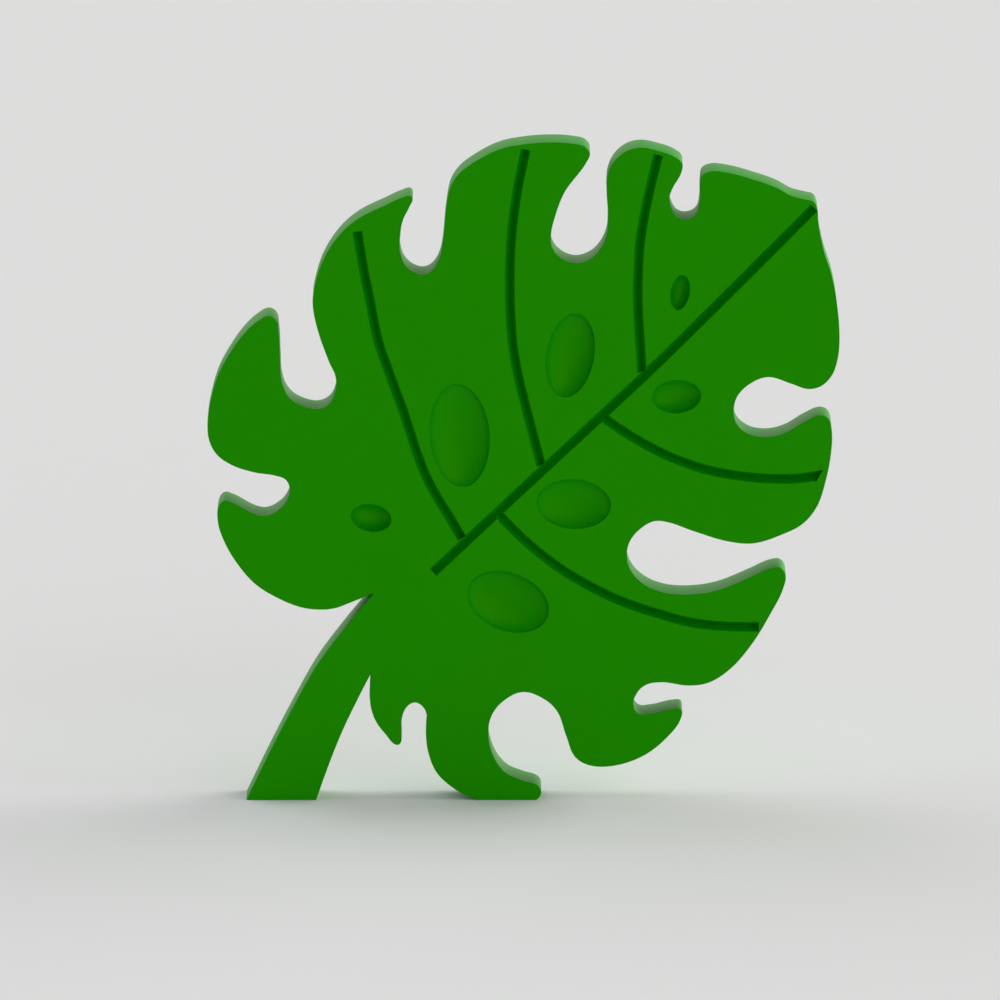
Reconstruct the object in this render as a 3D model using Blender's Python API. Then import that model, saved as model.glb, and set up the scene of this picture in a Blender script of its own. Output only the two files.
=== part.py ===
"""Standing figure in the form of a monstera leaf.

One thick board is cut to the outline of the leaf and its stem, with square edges all round. The front
face carries the midrib and five side veins as grooves, cut in a V with a round bottom, and seven oval
hollows for the holes in the leaf. It stands on the cut end of the stem and on a flat under its lowest lobe.
The front looks along -Y, and the origin is on the floor under the middle of its box.
"""

import math

import bmesh
import bpy
from mathutils import Matrix, Vector
from mathutils.geometry import interpolate_bezier

MM = 0.001

# Driving dimensions
THICKNESS = 80 * MM
GROOVE_WIDTH = 15 * MM
GROOVE_DEPTH = 16 * MM
HOLLOW_DEPTH = 20 * MM

# A groove gets shallower from its middle by this power of the distance: 1 is a sharp V and 2 is a parabola
GROOVE_POWER = 1.25

# How finely the curves are cut into straight facets
OUTLINE_FACET = 9 * MM
VEIN_FACET = 22 * MM
GROOVE_SIDES = 8
HOLLOW_SIDES = 26
HOLLOW_RINGS = 9

# A curve's handle reaches this share of the way to the next point, which is right for an arc of 45 degrees
HANDLE_REACH = 0.346

# A cutter stands this far out of the face
CUTTER_RISE = 4 * MM

# Edges that turn more than this are shaded as corners
SHARP_CORNER = math.radians(35)

PAINT_COLOUR = (0.011, 0.205, 0.002, 1.0)
PAINT_ROUGHNESS = 0.4

# The outline of the front face, clockwise as seen from the front, as points in millimetres to the right of
# the middle and up from the floor. A smooth curve runs through each list, and the lists meet in corners.
STEM_LEFT_EDGE = [(-416, 0), (-385, 65), (-345, 143), (-309, 207), (-270, 260), (-224, 316)]

BLADE = [
    # Lower left lobe
    (-224, 316), (-256, 303), (-283, 293), (-308, 291), (-335, 295), (-369, 309), (-402, 330),
    (-431, 364), (-451, 401), (-458, 426), (-457, 447), (-449, 457), (-436, 454),
    # First notch on the left
    (-400, 436), (-386, 434), (-371, 440), (-355, 456), (-350, 475), (-356, 489), (-371, 495),
    # Upper left lobe
    (-402, 500), (-436, 511), (-459, 527), (-470, 547), (-473, 575), (-468, 610), (-456, 650),
    (-440, 680), (-418, 711), (-399, 729), (-381, 738), (-370, 732), (-366, 712),
    # Second notch on the left
    (-364, 671), (-361, 636), (-350, 614), (-330, 601), (-306, 597), (-290, 605), (-281, 624),
    (-281, 646), (-291, 669),
    # Big lobe at the upper left
    (-311, 730), (-315, 760), (-311, 787), (-299, 823), (-277, 858), (-249, 884), (-206, 906),
    (-182, 917), (-168, 920), (-165, 915), (-169, 905),
    # First notch at the top
    (-180, 882), (-184, 857), (-184, 835), (-177, 816), (-163, 804), (-147, 801), (-134, 809),
    (-124, 828), (-120, 850),
    # Top lobe
    (-115, 900), (-108, 934), (-96, 953), (-70, 973), (-34, 991), (0, 998), (40, 1001), (74, 999),
    (93, 994), (100, 984), (95, 971),
    # Second notch at the top
    (62, 925), (50, 895), (42, 862), (43, 844), (54, 828), (77, 818), (98, 823), (114, 837),
    (125, 860), (127, 888),
    # Small lobe at the top
    (125, 930), (127, 952), (137, 973), (155, 988), (176, 993), (203, 988), (227, 979), (238, 969),
    (237, 956),
    # Third notch at the top
    (223, 930), (219, 917), (222, 901), (232, 887), (248, 885), (260, 893), (264, 908),
    # Leaf tip and the long right side
    (265, 937), (268, 951), (280, 957), (301, 956), (347, 944), (380, 932), (402, 920), (425, 914),
    (435, 911), (440, 901), (442, 878), (450, 838), (462, 800), (470, 757), (474, 710), (472, 676),
    (463, 648), (446, 631), (427, 627),
    # First notch on the right
    (402, 635), (367, 645), (342, 636), (322, 617), (316, 597), (320, 575), (338, 559), (366, 554),
    (392, 560),
    # Middle lobe on the right
    (423, 578), (447, 587), (458, 582), (463, 563), (462, 530), (454, 487), (441, 448), (420, 422),
    (390, 406), (345, 392), (308, 395),
    # Second notch on the right
    (255, 411), (218, 424), (198, 426), (176, 414), (160, 394), (156, 373), (162, 351), (180, 331),
    (208, 318), (244, 314), (290, 320),
    # Lower lobe on the right
    (340, 340), (372, 354), (386, 355), (394, 345), (391, 324), (372, 285), (343, 237), (310, 199),
    (278, 179), (250, 175),
    # Third notch on the right
    (205, 180), (183, 175), (170, 161), (166, 145), (174, 132), (193, 132),
    # Hooked lobe at the bottom right
    (226, 139), (238, 138), (238, 126), (215, 94), (180, 67), (135, 52), (100, 53), (79, 65),
    # Round notch at the bottom
    (65, 98), (51, 136), (32, 154), (0, 165), (-27, 153), (-46, 131), (-52, 103), (-45, 69),
    (-26, 42), (0, 30),
    # Tip of the lowest lobe, down to the flat that it stands on
    (21, 23), (27, 16), (26, 6), (20, 0),
]

FOOT_OF_LOWEST_LOBE = [(20, 0), (-65, 0)]

UNDERSIDE = [
    # Back of the lowest lobe
    (-65, 0), (-84, 6), (-110, 22), (-130, 42), (-142, 71), (-146, 101),
    # Notch beside the finger lobe
    (-145, 131), (-151, 143), (-162, 149), (-173, 144), (-181, 129), (-183, 105),
    # Finger lobe
    (-184, 87), (-189, 84), (-207, 101), (-223, 124), (-230, 152), (-228, 194),
]

STEM_RIGHT_EDGE = [(-228, 194), (-248, 155), (-275, 97), (-311, 0)]

CUT_END_OF_STEM = [(-311, 0), (-416, 0)]

OUTLINE = [STEM_LEFT_EDGE, BLADE, FOOT_OF_LOWEST_LOBE, UNDERSIDE, STEM_RIGHT_EDGE, CUT_END_OF_STEM]

# The middle lines of the vein grooves, and how many degrees the far end leans from square
VEINS = [
    # Midrib
    ([(-135, 348), (0, 476), (100, 570), (200, 665), (300, 765), (435, 902)], 0),
    # Side veins on the left of the midrib
    ([(-248, 866), (-239, 810), (-230, 765), (-217, 700), (-200, 650), (-182, 600), (-148, 500),
      (-127, 459), (-111, 433), (-92, 400)], 0),
    ([(4, 990), (-10, 921), (-18, 850), (-20, 785), (-16, 700), (-8, 650), (4, 600), (21, 534),
      (27, 511)], 0),
    ([(202, 982), (194, 950), (183, 900), (175, 850), (172, 800), (172, 750), (175, 700), (178, 653)], 0),
    # Side veins on the right of the midrib
    ([(119, 585), (150, 563), (190, 539), (225, 522), (277, 504), (325, 495), (370, 491), (410, 491),
      (445, 496)], 40),
    ([(-38, 438), (0, 399), (50, 358), (100, 327), (150, 303), (200, 286), (250, 272), (300, 266),
      (354, 265)], 0),
]

# The hollows, each as its middle, its half width and half height along its own axes, and how many degrees
# it leans clockwise as seen from the front
HOLLOWS = [
    ((-95, 556.5), (45, 78.5), -4.5),
    ((70.5, 678), (36, 64.5), 10),
    ((235, 773.5), (14.5, 27), 10),
    ((230, 615.5), (37, 25.5), -4),
    ((76, 452), (56, 38), 4),
    ((-228, 431), (31, 21), 10),
    ((-22.5, 303), (64, 44), 22),
]


def corner_handle(corner, next_handle):
    """A handle for the end of a stretch, half way to the nearest handle of the point after it."""
    return corner.lerp(next_handle, 0.5)


def smooth_curve(points, facet):
    """Points a facet or less apart on a smooth curve through the given points, in metres."""
    knots = [Vector((x, 0, z)) * MM for x, z in points]
    if len(knots) == 2:
        return knots
    before = [None] * len(knots)
    after = [None] * len(knots)
    for i in range(1, len(knots) - 1):
        arriving = knots[i] - knots[i - 1]
        leaving = knots[i + 1] - knots[i]
        direction = (arriving.normalized() + leaving.normalized()).normalized()
        before[i] = knots[i] - direction * arriving.length * HANDLE_REACH
        after[i] = knots[i] + direction * leaving.length * HANDLE_REACH
    after[0] = corner_handle(knots[0], before[1])
    before[-1] = corner_handle(knots[-1], after[-2])
    curve = [knots[0]]
    for i in range(len(knots) - 1):
        pieces = max(1, math.ceil((knots[i + 1] - knots[i]).length / facet))
        curve += interpolate_bezier(knots[i], after[i], before[i + 1], knots[i + 1], pieces + 1)[1:]
    return curve


def mesh_object(name, mesh_builder):
    """A new object in the scene that holds what is in a bmesh, with its faces pointing outwards.

    Faces with three or four corners follow a curve and are shaded smooth, and those with more are flat.
    """
    bmesh.ops.recalc_face_normals(mesh_builder, faces=mesh_builder.faces)
    for face in mesh_builder.faces:
        face.smooth = len(face.verts) <= 4
    mesh = bpy.data.meshes.new(name)
    mesh_builder.to_mesh(mesh)
    mesh_builder.free()
    made = bpy.data.objects.new(name, mesh)
    bpy.context.scene.collection.objects.link(made)
    return made


def cut_board(outline):
    """The board: the outline's face, extruded from the front to the back."""
    builder = bmesh.new()
    front = Vector((0, -THICKNESS / 2, 0))
    face = builder.faces.new([builder.verts.new(point + front) for point in outline])
    extruded = bmesh.ops.extrude_face_region(builder, geom=[face])["geom"]
    moved = [part for part in extruded if isinstance(part, bmesh.types.BMVert)]
    bmesh.ops.translate(builder, verts=moved, vec=(0, THICKNESS, 0))
    board = mesh_object("monstera_leaf", builder)
    board.data.set_sharp_from_angle(angle=SHARP_CORNER)
    return board


def groove_section():
    """The groove's section, across it and into the board: a V with a round bottom, closed above the face."""
    half = GROOVE_WIDTH / 2
    shares = [math.cos(math.pi * side / GROOVE_SIDES) for side in range(GROOVE_SIDES + 1)]
    section = [(half * share, GROOVE_DEPTH * (1 - abs(share) ** GROOVE_POWER)) for share in shares]
    return [(half, -CUTTER_RISE)] + section + [(-half, -CUTTER_RISE)]


def groove_cutter(name, path, end_lean):
    """A bar with the groove's section, run along a path on the front face, with its far end leaning."""
    builder = bmesh.new()
    rings = []
    for i, point in enumerate(path):
        along = (path[min(i + 1, len(path) - 1)] - path[max(i - 1, 0)]).normalized()
        across = Vector((along.z, 0, -along.x))
        if i == len(path) - 1:
            across -= along * math.tan(math.radians(end_lean))
        rings.append([
            builder.verts.new(point + across * side + Vector((0, depth - THICKNESS / 2, 0)))
            for side, depth in groove_section()
        ])
    for ring, next_ring in zip(rings, rings[1:]):
        for i in range(len(ring)):
            builder.faces.new((ring[i - 1], ring[i], next_ring[i], next_ring[i - 1]))
    builder.faces.new(rings[0])
    builder.faces.new(rings[-1])
    return mesh_object(name, builder)


def hollow_cutter(name, middle, half_sizes, lean):
    """A flattened ball whose widest line lies on the front face. Its rings of points miss that line."""
    builder = bmesh.new()
    bmesh.ops.create_uvsphere(builder, u_segments=HOLLOW_SIDES, v_segments=HOLLOW_RINGS, radius=1)
    rim = math.cos(math.pi / 2 / HOLLOW_RINGS)
    flatten = Matrix.Diagonal((half_sizes[0] * MM / rim, half_sizes[1] * MM / rim, HOLLOW_DEPTH, 1))
    stand_up = Matrix.Rotation(math.radians(90), 4, "X")
    tilt = Matrix.Rotation(math.radians(lean), 4, "Y")
    place = Matrix.Translation((middle[0] * MM, -THICKNESS / 2, middle[1] * MM))
    bmesh.ops.transform(builder, matrix=place @ tilt @ stand_up @ flatten, verts=builder.verts)
    return mesh_object(name, builder)


def cut_away(board, cutter):
    """Subtract a cutter from the board, and keep the cutter hidden."""
    cut = board.modifiers.new(cutter.name, "BOOLEAN")
    cut.operation = "DIFFERENCE"
    cut.solver = "EXACT"
    cut.object = cutter
    cutter.hide_render = True
    cutter.display_type = "WIRE"


def green_paint():
    """The satin green paint that covers the figure."""
    paint = bpy.data.materials.new("green_paint")
    paint.use_nodes = True
    shader = paint.node_tree.nodes["Principled BSDF"]
    shader.inputs["Base Color"].default_value = PAINT_COLOUR
    shader.inputs["Roughness"].default_value = PAINT_ROUGHNESS
    shader.inputs["Metallic"].default_value = 0.0
    return paint


for old in list(bpy.data.objects):
    bpy.data.objects.remove(old, do_unlink=True)

outline_points = []
for stretch in OUTLINE:
    outline_points += smooth_curve(stretch, OUTLINE_FACET)[:-1]
leftmost = min(point.x for point in outline_points)
rightmost = max(point.x for point in outline_points)
to_middle = Vector((-(leftmost + rightmost) / 2, 0, 0))

leaf = cut_board(outline_points)
for number, (middle_line, end_lean) in enumerate(VEINS):
    path = smooth_curve(middle_line, VEIN_FACET)
    cut_away(leaf, groove_cutter(f"cutter_vein_{number}", path, end_lean))
for number, (middle, half_sizes, lean) in enumerate(HOLLOWS):
    cut_away(leaf, hollow_cutter(f"cutter_hollow_{number}", middle, half_sizes, lean))
for made in bpy.data.objects:
    made.location = to_middle
leaf.data.materials.append(green_paint())
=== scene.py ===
import math

import bmesh
import bpy
import numpy as np
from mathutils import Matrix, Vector


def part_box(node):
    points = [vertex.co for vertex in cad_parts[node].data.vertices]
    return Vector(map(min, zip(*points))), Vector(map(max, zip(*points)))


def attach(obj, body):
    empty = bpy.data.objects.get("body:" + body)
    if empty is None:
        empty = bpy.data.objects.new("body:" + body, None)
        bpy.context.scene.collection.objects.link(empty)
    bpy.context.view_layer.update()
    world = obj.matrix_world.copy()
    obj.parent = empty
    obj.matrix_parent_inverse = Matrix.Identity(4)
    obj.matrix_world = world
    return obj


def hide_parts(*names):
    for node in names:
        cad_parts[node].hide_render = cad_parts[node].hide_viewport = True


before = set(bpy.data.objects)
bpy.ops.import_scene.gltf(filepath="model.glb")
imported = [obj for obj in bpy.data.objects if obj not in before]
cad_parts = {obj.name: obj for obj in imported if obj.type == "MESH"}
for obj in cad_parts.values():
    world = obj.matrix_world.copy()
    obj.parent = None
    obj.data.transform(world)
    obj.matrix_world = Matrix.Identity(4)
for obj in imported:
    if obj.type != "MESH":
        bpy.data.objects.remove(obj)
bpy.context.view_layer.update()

# Camera
# The photograph looks square on to the figure's face from 10 degrees above level. It is taken from so far
# away that the sides of the board hardly show. The distance is to the point that the camera looks at.
VIEW_RISE = math.radians(10)
VIEW_DISTANCE = 26.1
VIEW_MIDDLE = Vector((-0.035, -0.040, 0.4583))
LENS_MM = 626.4
SENSOR_MM = 36.0
SIGHT_LIMIT = 200.0

lens = bpy.data.cameras.new("camera")
lens.lens = LENS_MM
lens.sensor_width = SENSOR_MM
lens.clip_end = SIGHT_LIMIT
camera = bpy.data.objects.new("camera", lens)
towards_camera = Vector((0, -math.cos(VIEW_RISE), math.sin(VIEW_RISE)))
camera.location = VIEW_MIDDLE + towards_camera * VIEW_DISTANCE
camera.rotation_euler = (-towards_camera).to_track_quat("-Z", "Y").to_euler()
bpy.context.scene.collection.objects.link(camera)
bpy.context.scene.camera = camera

# Figure
# One thick board in the outline of a monstera leaf and its stem, cut square all round and carved on the
# front, with grooves for the veins and hollows for the holes. It is filled, sanded and sprayed with a
# satin green, and its cut edges are just broken with fine paper before the paint goes on.
MM = 0.001
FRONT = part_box("monstera_leaf")[0].y
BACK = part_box("monstera_leaf")[1].y
BROKEN_EDGE = 0.8 * MM
GROOVE_WIDTH = 15 * MM
GROOVE_DEPTH = 16 * MM
HOLLOW_DEPTH = 20 * MM

# A groove gets shallower from its middle by this power of the distance: 1 is a sharp V and 2 is a parabola
GROOVE_POWER = 1.25

# How finely the lines and surfaces are divided
OUTLINE_STEP = 3 * MM
GROOVE_STEP = 5 * MM
EDGE_SIDES = 4
GROOVE_SIDES = 18
HOLLOW_SIDES = 96
HOLLOW_RINGS = 22

# A surface that turns by more than this has a corner there
CORNER = math.radians(40)

# A curve's handle reaches this share of the way to the next point, which is right for an arc of 45 degrees
HANDLE_REACH = 0.346

# The outline of the front face, clockwise as seen from the front, as points in millimetres to the right of
# the middle and up from the floor. A smooth curve runs through each list, and the lists meet in corners.
STEM_LEFT_EDGE = [(-416, 0), (-385, 65), (-345, 143), (-309, 207), (-270, 260), (-224, 316)]
BLADE = [
    # Lower left lobe
    (-224, 316), (-256, 303), (-283, 293), (-308, 291), (-335, 295), (-369, 309), (-402, 330),
    (-431, 364), (-451, 401), (-458, 426), (-457, 447), (-449, 457), (-436, 454),
    # First notch on the left
    (-400, 436), (-386, 434), (-371, 440), (-355, 456), (-350, 475), (-356, 489), (-371, 495),
    # Upper left lobe
    (-402, 500), (-436, 511), (-459, 527), (-470, 547), (-473, 575), (-468, 610), (-456, 650),
    (-440, 680), (-418, 711), (-399, 729), (-381, 738), (-370, 732), (-366, 712),
    # Second notch on the left
    (-364, 671), (-361, 636), (-350, 614), (-330, 601), (-306, 597), (-290, 605), (-281, 624),
    (-281, 646), (-291, 669),
    # Big lobe at the upper left
    (-311, 730), (-315, 760), (-311, 787), (-299, 823), (-277, 858), (-249, 884), (-206, 906),
    (-182, 917), (-168, 920), (-165, 915), (-169, 905),
    # First notch at the top
    (-180, 882), (-184, 857), (-184, 835), (-177, 816), (-163, 804), (-147, 801), (-134, 809),
    (-124, 828), (-120, 850),
    # Top lobe
    (-115, 900), (-108, 934), (-96, 953), (-70, 973), (-34, 991), (0, 998), (40, 1001), (74, 999),
    (93, 994), (100, 984), (95, 971),
    # Second notch at the top
    (62, 925), (50, 895), (42, 862), (43, 844), (54, 828), (77, 818), (98, 823), (114, 837),
    (125, 860), (127, 888),
    # Small lobe at the top
    (125, 930), (127, 952), (137, 973), (155, 988), (176, 993), (203, 988), (227, 979), (238, 969),
    (237, 956),
    # Third notch at the top
    (223, 930), (219, 917), (222, 901), (232, 887), (248, 885), (260, 893), (264, 908),
    # Leaf tip and the long right side
    (265, 937), (268, 951), (280, 957), (301, 956), (347, 944), (380, 932), (402, 920), (425, 914),
    (435, 911), (440, 901), (442, 878), (450, 838), (462, 800), (470, 757), (474, 710), (472, 676),
    (463, 648), (446, 631), (427, 627),
    # First notch on the right
    (402, 635), (367, 645), (342, 636), (322, 617), (316, 597), (320, 575), (338, 559), (366, 554),
    (392, 560),
    # Middle lobe on the right
    (423, 578), (447, 587), (458, 582), (463, 563), (462, 530), (454, 487), (441, 448), (420, 422),
    (390, 406), (345, 392), (308, 395),
    # Second notch on the right
    (255, 411), (218, 424), (198, 426), (176, 414), (160, 394), (156, 373), (162, 351), (180, 331),
    (208, 318), (244, 314), (290, 320),
    # Lower lobe on the right
    (340, 340), (372, 354), (386, 355), (394, 345), (391, 324), (372, 285), (343, 237), (310, 199),
    (278, 179), (250, 175),
    # Third notch on the right
    (205, 180), (183, 175), (170, 161), (166, 145), (174, 132), (193, 132),
    # Hooked lobe at the bottom right
    (226, 139), (238, 138), (238, 126), (215, 94), (180, 67), (135, 52), (100, 53), (79, 65),
    # Round notch at the bottom
    (65, 98), (51, 136), (32, 154), (0, 165), (-27, 153), (-46, 131), (-52, 103), (-45, 69),
    (-26, 42), (0, 30),
    # Tip of the lowest lobe, down to the flat that it stands on
    (21, 23), (27, 16), (26, 6), (20, 0),
]
FOOT_OF_LOWEST_LOBE = [(20, 0), (-65, 0)]
UNDERSIDE = [
    # Back of the lowest lobe
    (-65, 0), (-84, 6), (-110, 22), (-130, 42), (-142, 71), (-146, 101),
    # Notch beside the finger lobe
    (-145, 131), (-151, 143), (-162, 149), (-173, 144), (-181, 129), (-183, 105),
    # Finger lobe
    (-184, 87), (-189, 84), (-207, 101), (-223, 124), (-230, 152), (-228, 194),
]
STEM_RIGHT_EDGE = [(-228, 194), (-248, 155), (-275, 97), (-311, 0)]
CUT_END_OF_STEM = [(-311, 0), (-416, 0)]
OUTLINE = [STEM_LEFT_EDGE, BLADE, FOOT_OF_LOWEST_LOBE, UNDERSIDE, STEM_RIGHT_EDGE, CUT_END_OF_STEM]

# The middle lines of the vein grooves, and how many degrees the far end leans from square
VEINS = [
    # Midrib
    ([(-135, 348), (0, 476), (100, 570), (200, 665), (300, 765), (435, 902)], 0),
    # Side veins on the left of the midrib
    ([(-248, 866), (-239, 810), (-230, 765), (-217, 700), (-200, 650), (-182, 600), (-148, 500),
      (-127, 459), (-111, 433), (-92, 400)], 0),
    ([(4, 990), (-10, 921), (-18, 850), (-20, 785), (-16, 700), (-8, 650), (4, 600), (21, 534),
      (27, 511)], 0),
    ([(202, 982), (194, 950), (183, 900), (175, 850), (172, 800), (172, 750), (175, 700), (178, 653)], 0),
    # Side veins on the right of the midrib
    ([(119, 585), (150, 563), (190, 539), (225, 522), (277, 504), (325, 495), (370, 491), (410, 491),
      (445, 496)], 40),
    ([(-38, 438), (0, 399), (50, 358), (100, 327), (150, 303), (200, 286), (250, 272), (300, 266),
      (354, 265)], 0),
]

# The hollows, each as its middle, its half width and half height along its own axes, and how many degrees
# it leans clockwise as seen from the front
HOLLOWS = [
    ((-95, 556.5), (45, 78.5), -4.5),
    ((70.5, 678), (36, 64.5), 10),
    ((235, 773.5), (14.5, 27), 10),
    ((230, 615.5), (37, 25.5), -4),
    ((76, 452), (56, 38), 4),
    ((-228, 431), (31, 21), 10),
    ((-22.5, 303), (64, 44), 22),
]


def smooth_line(points, step):
    """Points a step or less apart on a smooth line through the given points, in metres.

    Each stretch is the cubic (1-t)^3 a + 3(1-t)^2 t b + 3(1-t)t^2 c + t^3 d from a point a to the next one d.
    The handles b and c lie along the line that halves the angle between the chords at their point, and the
    handle at either end of the whole line lies half way to the next one.
    """
    knots = np.array(points, float) * MM
    chords = np.diff(knots, axis=0)
    lengths = np.linalg.norm(chords, axis=1, keepdims=True)
    ways = chords / lengths
    directions = ways[:-1] + ways[1:]
    directions /= np.linalg.norm(directions, axis=1, keepdims=True)
    before = knots.copy()
    after = knots.copy()
    before[1:-1] -= directions * lengths[:-1] * HANDLE_REACH
    after[1:-1] += directions * lengths[1:] * HANDLE_REACH
    after[0] = (knots[0] + before[1]) / 2
    before[-1] = (knots[-1] + after[-2]) / 2
    pieces = np.ceil(lengths[:, 0] / step).astype(int)
    stretch = np.repeat(np.arange(len(pieces)), pieces)
    first = np.repeat(np.cumsum(pieces) - pieces, pieces)
    t = ((np.arange(len(stretch)) - first) / pieces[stretch])[:, None]
    line = (1 - t) ** 3 * knots[stretch] + 3 * (1 - t) ** 2 * t * after[stretch]
    line += 3 * (1 - t) * t ** 2 * before[stretch + 1] + t ** 3 * knots[stretch + 1]
    return np.vstack([line, knots[-1]])


def inward_steps(loop):
    """For each point of a closed clockwise loop, the step that moves both its sides in by 1.

    The side's own step in is the side turned a quarter clockwise, and the point's is the sum of its two
    sides' steps over 1 plus their dot product.
    """
    sides = np.roll(loop, -1, axis=0) - loop
    sides /= np.linalg.norm(sides, axis=1, keepdims=True)
    next_in = np.stack([sides[:, 1], -sides[:, 0]], axis=1)
    last_in = np.roll(next_in, 1, axis=0)
    return (last_in + next_in) / (1 + np.sum(last_in * next_in, axis=1, keepdims=True))


def board_rings(loop):
    """The outline carried from front to back over a quarter-round broken edge on either side.

    Over each edge the outline moves in by r(1 - sin a) while it moves back by r(1 - cos a), for a from 0 to
    a quarter turn.
    """
    turn = np.linspace(0, math.pi / 2, EDGE_SIDES + 1)
    inset = BROKEN_EDGE * (1 - np.sin(turn))
    depth = BROKEN_EDGE * (1 - np.cos(turn))
    insets = np.concatenate([inset, inset[::-1]])[:, None, None]
    places = np.concatenate([FRONT + depth, BACK - depth[::-1]])
    flat = loop + insets * inward_steps(loop)
    across = np.broadcast_to(places[:, None], flat.shape[:2])
    return np.stack([flat[..., 0], across, flat[..., 1]], axis=2)


# The broken edges of a groove or hollow lie half inside and half outside its drawn size, and start a hair
# in front of the face, so that the face cuts through them cleanly. The cutter stands further out.
HAIR = 0.03 * MM
CUTTER_RISE = 2 * MM


def lip(half):
    """Across and into the board from a groove's middle: its quarter-round lip, from the face inwards.

    With a from 0 to a quarter turn, it is half + r/2 - r sin a across and r(1 - cos a) deep.
    """
    turn = np.linspace(0, math.pi / 2, EDGE_SIDES + 1)
    across = half + BROKEN_EDGE / 2 - BROKEN_EDGE * np.sin(turn)
    return across, BROKEN_EDGE * (1 - np.cos(turn)) - HAIR


def groove_rings(path, end_lean):
    """The groove's section carried along its path: a lip, a V with a round bottom and a lip, closed above.

    At a share s of the way from its middle to its side, the V is 1 - s^power of its depth.
    """
    across, depth = lip(GROOVE_WIDTH / 2)
    share = np.cos(np.linspace(0, math.pi, GROOVE_SIDES + 1)[1:-1])
    bottom = across[-1] * share
    bottom_depth = depth[-1] + (GROOVE_DEPTH - depth[-1]) * (1 - np.abs(share) ** GROOVE_POWER)
    section_across = np.concatenate([[across[0]], across, bottom, -across[::-1], [-across[0]]])
    section_depth = np.concatenate([[-CUTTER_RISE], depth, bottom_depth, depth[::-1], [-CUTTER_RISE]])
    along = np.gradient(path, axis=0)
    along /= np.linalg.norm(along, axis=1, keepdims=True)
    sideways = np.stack([along[:, 1], -along[:, 0]], axis=1)
    sideways[-1] -= along[-1] * math.tan(math.radians(end_lean))
    flat = path[:, None, :] + section_across[None, :, None] * sideways[:, None, :]
    into = np.broadcast_to(FRONT + section_depth[None, :], flat.shape[:2])
    return np.stack([flat[..., 0], into, flat[..., 1]], axis=2)


def hollow_rings(middle, half_sizes, lean):
    """Ellipses from above the face down to the bottom of a hollow.

    Below its lip the hollow is half a flattened ball: at angle a from the rim, the ellipse is cos a of its
    size and the depth is sin a of its own.
    """
    wide, high = half_sizes[0] * MM, half_sizes[1] * MM
    across, depth = lip(0)
    turn = np.linspace(0, math.pi / 2, HOLLOW_RINGS + 1)[1:-1]
    shrink = np.concatenate([np.ones(len(across) + 1), np.cos(turn)])
    extra = np.concatenate([[across[0]], across, across[-1] * np.cos(turn)])
    deep = np.concatenate([[-CUTTER_RISE], depth, depth[-1] + (HOLLOW_DEPTH - depth[-1]) * np.sin(turn)])
    round_about = np.linspace(0, 2 * math.pi, HOLLOW_SIDES, endpoint=False)
    own_x = (wide * shrink + extra)[:, None] * np.cos(round_about)
    own_z = (high * shrink + extra)[:, None] * np.sin(round_about)
    cosine, sine = math.cos(math.radians(lean)), math.sin(math.radians(lean))
    x = middle[0] * MM + own_x * cosine + own_z * sine
    z = middle[1] * MM - own_x * sine + own_z * cosine
    return np.stack([x, np.broadcast_to((FRONT + deep)[:, None], x.shape), z], axis=2)


def solid(name, rings):
    """A closed mesh object from rings of points.

    Four-cornered faces run from each ring to the next, and one face closes each end.
    """
    count, size = rings.shape[:2]
    index = np.arange(count * size).reshape(count, size)
    beside = np.roll(index, -1, axis=1)
    quads = np.stack([index[:-1], beside[:-1], beside[1:], index[1:]], axis=2).reshape(-1, 4)
    mesh = bpy.data.meshes.new(name)
    mesh.from_pydata(rings.reshape(-1, 3), [], quads.tolist() + [index[0].tolist(), index[-1].tolist()])
    builder = bmesh.new()
    builder.from_mesh(mesh)
    bmesh.ops.recalc_face_normals(builder, faces=builder.faces)
    builder.to_mesh(mesh)
    builder.free()
    made = bpy.data.objects.new(name, mesh)
    bpy.context.scene.collection.objects.link(made)
    return made


def carve(board, cutters):
    """The board's mesh with all the cutters taken out of it at once. The cutters are then removed."""
    tools = bpy.data.collections.new("cutters")
    bpy.context.scene.collection.children.link(tools)
    for cutter in cutters:
        bpy.context.scene.collection.objects.unlink(cutter)
        tools.objects.link(cutter)
    cut = board.modifiers.new("carving", "BOOLEAN")
    cut.operation = "DIFFERENCE"
    cut.solver = "MANIFOLD"
    cut.operand_type = "COLLECTION"
    cut.collection = tools
    carved = bpy.data.meshes.new_from_object(board.evaluated_get(bpy.context.evaluated_depsgraph_get()))
    board.modifiers.clear()
    board.data = carved
    for cutter in cutters:
        bpy.data.objects.remove(cutter, do_unlink=True)
    bpy.data.collections.remove(tools)


# A polygon whose middle is this near to the front or the back lies in it
IN_PLANE = HAIR / 4


def shade(mesh):
    """Smooth shading on all but the flat front and back, with corners where the surface turns sharply."""
    centres = np.empty(len(mesh.polygons) * 3)
    mesh.polygons.foreach_get("center", centres)
    depth = centres.reshape(-1, 3)[:, 1]
    on_a_face = (np.abs(depth - FRONT) < IN_PLANE) | (np.abs(depth - BACK) < IN_PLANE)
    mesh.shade_smooth()
    mesh.set_sharp_from_angle(angle=CORNER)
    mesh.polygons.foreach_set("use_smooth", ~on_a_face)
    mesh.update()


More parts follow.
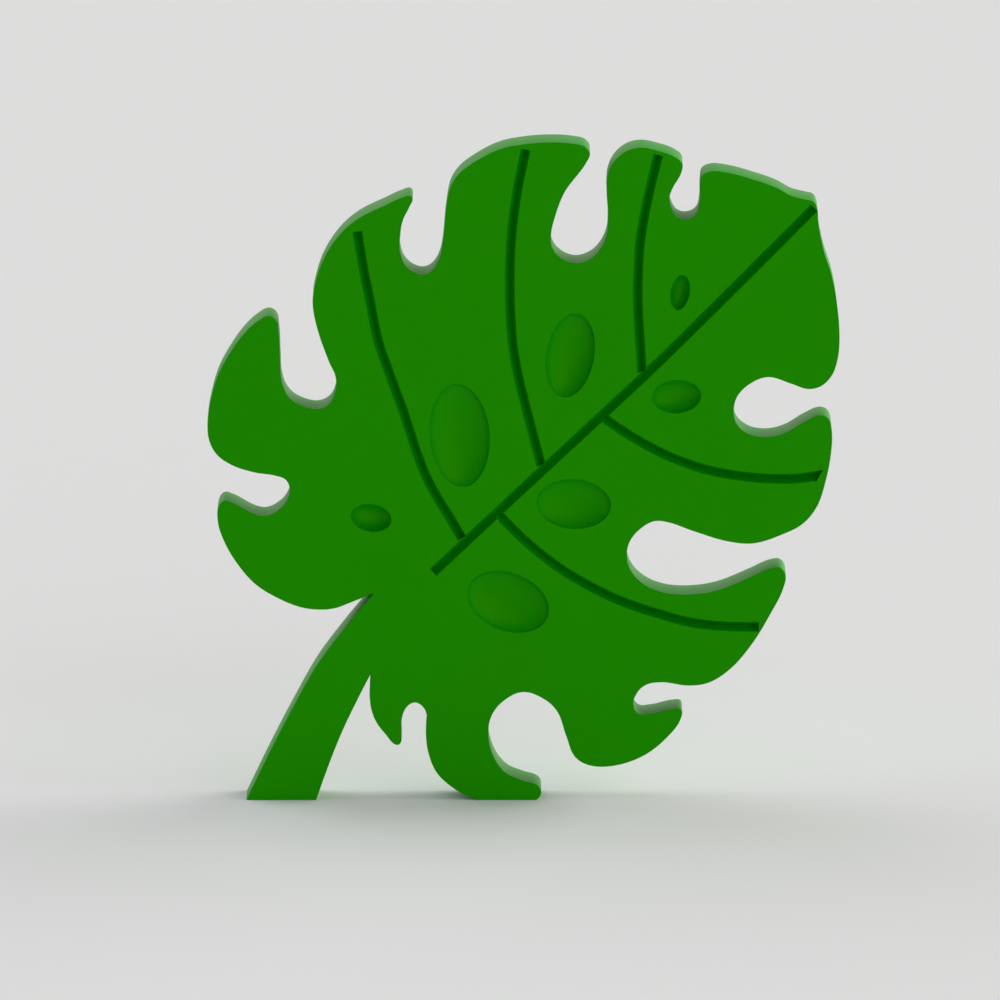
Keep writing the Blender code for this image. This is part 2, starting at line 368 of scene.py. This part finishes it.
class Wire:
    """An output socket in a material. Sums and products of wires and numbers add Math nodes."""

    def __init__(self, tree, socket=None):
        self.tree = tree
        self.socket = socket

    def node(self, kind, settings, sockets, output=0):
        """A new node of a kind. Its settings are set first, and then its sockets' values or links."""
        made = self.tree.nodes.new(kind)
        for name, value in settings.items():
            setattr(made, name, value)
        for name, value in sockets.items():
            if isinstance(value, Wire):
                self.tree.links.new(value.socket, made.inputs[name])
            else:
                made.inputs[name].default_value = value
        return Wire(self.tree, made.outputs[output] if made.outputs else None)

    def maths(self, operation, first, second):
        """A Math node on two wires or numbers."""
        return self.node("ShaderNodeMath", {"operation": operation}, {0: first, 1: second})

    def __add__(self, other):
        return self.maths("ADD", self, other)

    __radd__ = __add__

    def __mul__(self, other):
        return self.maths("MULTIPLY", self, other)

    __rmul__ = __mul__


# The paint at its deepest and its palest. It has no red of its own: the red that the face shows is in what
# it reflects, so it fades in the grooves and hollows.
DEEP_GREEN = (0.0, 0.270, 0.0, 1)
PALE_GREEN = (0.0, 0.302, 0.0, 1)
REFLECTION_TINT = (0.55, 1.0, 0.0, 1)
PAINT_IOR = 1.4
PAINT_ROUGHNESS = 0.47
CLOUD_ROUGHNESS = 0.06

# The size of each pattern in the paint, as about how many of it go to the metre, and its detail
CLOUDS = (6.0, 3.0)
SPECKLE = (900.0, 1.0)
DIMPLES = (260.0, 2.0)
SPECKLE_SHARE = 0.2
DIMPLE_STRENGTH = 0.35
DIMPLE_DEPTH = 0.12 * MM


def satin_green():
    """Sprayed satin green: soft clouds in its depth of colour, and the fine dimples of a spray coat.

    The colour goes from deep to pale by a sum of clouds and speckle, in shares that add up to 1. The
    roughness is PAINT_ROUGHNESS plus the clouds times CLOUD_ROUGHNESS.
    """
    paint = bpy.data.materials.new("satin_green")
    paint.use_nodes = True
    tree = paint.node_tree
    tree.nodes.clear()
    start = Wire(tree)
    place = start.node("ShaderNodeTexCoord", {}, {}, "Object")
    clouds, speckle, dimples = [
        start.node("ShaderNodeTexNoise", {}, {"Vector": place, "Scale": scale, "Detail": detail}, "Fac")
        for scale, detail in (CLOUDS, SPECKLE, DIMPLES)
    ]
    depth = clouds * (1 - SPECKLE_SHARE) + speckle * SPECKLE_SHARE
    # A Mix node for colours takes its factor at 0 and its colours at 6 and 7, and gives the colour at 2
    colour = start.node("ShaderNodeMix", {"data_type": "RGBA"}, {0: depth, 6: DEEP_GREEN, 7: PALE_GREEN}, 2)
    coat = start.node("ShaderNodeBump", {}, {
        "Height": dimples,
        "Strength": DIMPLE_STRENGTH,
        "Distance": DIMPLE_DEPTH,
    })
    shader = start.node("ShaderNodeBsdfPrincipled", {}, {
        "Base Color": colour,
        "Roughness": clouds * CLOUD_ROUGHNESS + PAINT_ROUGHNESS,
        "IOR": PAINT_IOR,
        "Specular Tint": REFLECTION_TINT,
        "Normal": coat,
    })
    start.node("ShaderNodeOutputMaterial", {}, {"Surface": shader})
    return paint


loop = np.vstack([smooth_line(stretch, OUTLINE_STEP)[:-1] for stretch in OUTLINE])
to_middle = np.array([-(loop[:, 0].min() + loop[:, 0].max()) / 2, 0])
figure = solid("leaf_figure", board_rings(loop + to_middle))
cutters = []
for number, (middle_line, end_lean) in enumerate(VEINS):
    path = smooth_line(middle_line, GROOVE_STEP) + to_middle
    cutters.append(solid(f"cutter_vein_{number}", groove_rings(path, end_lean)))
for number, (middle, half_sizes, lean) in enumerate(HOLLOWS):
    place = np.array(middle) + to_middle / MM
    cutters.append(solid(f"cutter_hollow_{number}", hollow_rings(place, half_sizes, lean)))
carve(figure, cutters)
shade(figure.data)
figure.data.materials.clear()
figure.data.materials.append(satin_green())
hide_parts("monstera_leaf")
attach(figure, "root")

# Floor
# A plain pale sheet under the figure, so wide that its far edge is out of sight. It is matt, and lies a
# hair below the feet so that the two share no plane.
FLOOR_HALF = 30.0
FLOOR_DROP = 0.2 * MM
FLOOR_COLOUR = (0.814, 0.808, 0.811, 1)
FLOOR_ROUGHNESS = 0.9
FLOOR_IOR = 1.2

corners = [(x * FLOOR_HALF, y * FLOOR_HALF, -FLOOR_DROP) for x, y in ((-1, -1), (1, -1), (1, 1), (-1, 1))]
sheet = bpy.data.meshes.new("floor")
sheet.from_pydata(corners, [], [(0, 1, 2, 3)])
floor = bpy.data.objects.new("floor", sheet)
bpy.context.scene.collection.objects.link(floor)
matt = bpy.data.materials.new("floor")
matt.use_nodes = True
finish = matt.node_tree.nodes["Principled BSDF"].inputs
finish["Base Color"].default_value = FLOOR_COLOUR
finish["Roughness"].default_value = FLOOR_ROUGHNESS
finish["IOR"].default_value = FLOOR_IOR
sheet.materials.append(matt)

# Light
# Five broad lamps far off, as in a white studio: all but one are low or behind, so that the carved face is
# lit mostly by the floor and by one low lamp in front. A weak surround fills in the shadows.
SURROUND = (0.99, 1.0, 1.02, 1)
SURROUND_STRENGTH = 0.155

# A lamp shines as if from very far away, so this distance only places it in the scene
LAMP_DISTANCE = 5.0
LAMPS = {
    # Degrees round from straight right, clockwise from above; degrees up; strength; softness; colour
    "right_lamp": (0, 40, 0.94, 50, (1.0, 0.97, 0.93)),
    "low_right_lamp": (330, 10, 2.37, 60, (1.0, 0.98, 0.95)),
    "left_lamp": (210, 40, 1.33, 75, (0.93, 0.98, 1.0)),
    "back_lamp": (272, 12, 0.58, 60, (1.0, 0.98, 0.90)),
    "front_lamp": (63, 10, 1.10, 60, (1.0, 1.0, 1.0)),
}

surround = bpy.data.worlds.new("surround")
surround.use_nodes = True
glow = surround.node_tree.nodes["Background"].inputs
glow["Color"].default_value = SURROUND
glow["Strength"].default_value = SURROUND_STRENGTH
bpy.context.scene.world = surround
for name, (round_degrees, up_degrees, strength, softness, colour) in LAMPS.items():
    lamp = bpy.data.lights.new(name, "SUN")
    lamp.energy = strength
    lamp.angle = math.radians(softness)
    lamp.color = colour
    around, up = math.radians(round_degrees), math.radians(up_degrees)
    towards = Vector((math.cos(around) * math.cos(up), -math.sin(around) * math.cos(up), math.sin(up)))
    stand = bpy.data.objects.new(name, lamp)
    stand.location = towards * LAMP_DISTANCE
    stand.rotation_euler = towards.to_track_quat("Z", "Y").to_euler()
    bpy.context.scene.collection.objects.link(stand)

# Plain colours, with no curve laid over them
bpy.context.scene.view_settings.view_transform = "Standard"
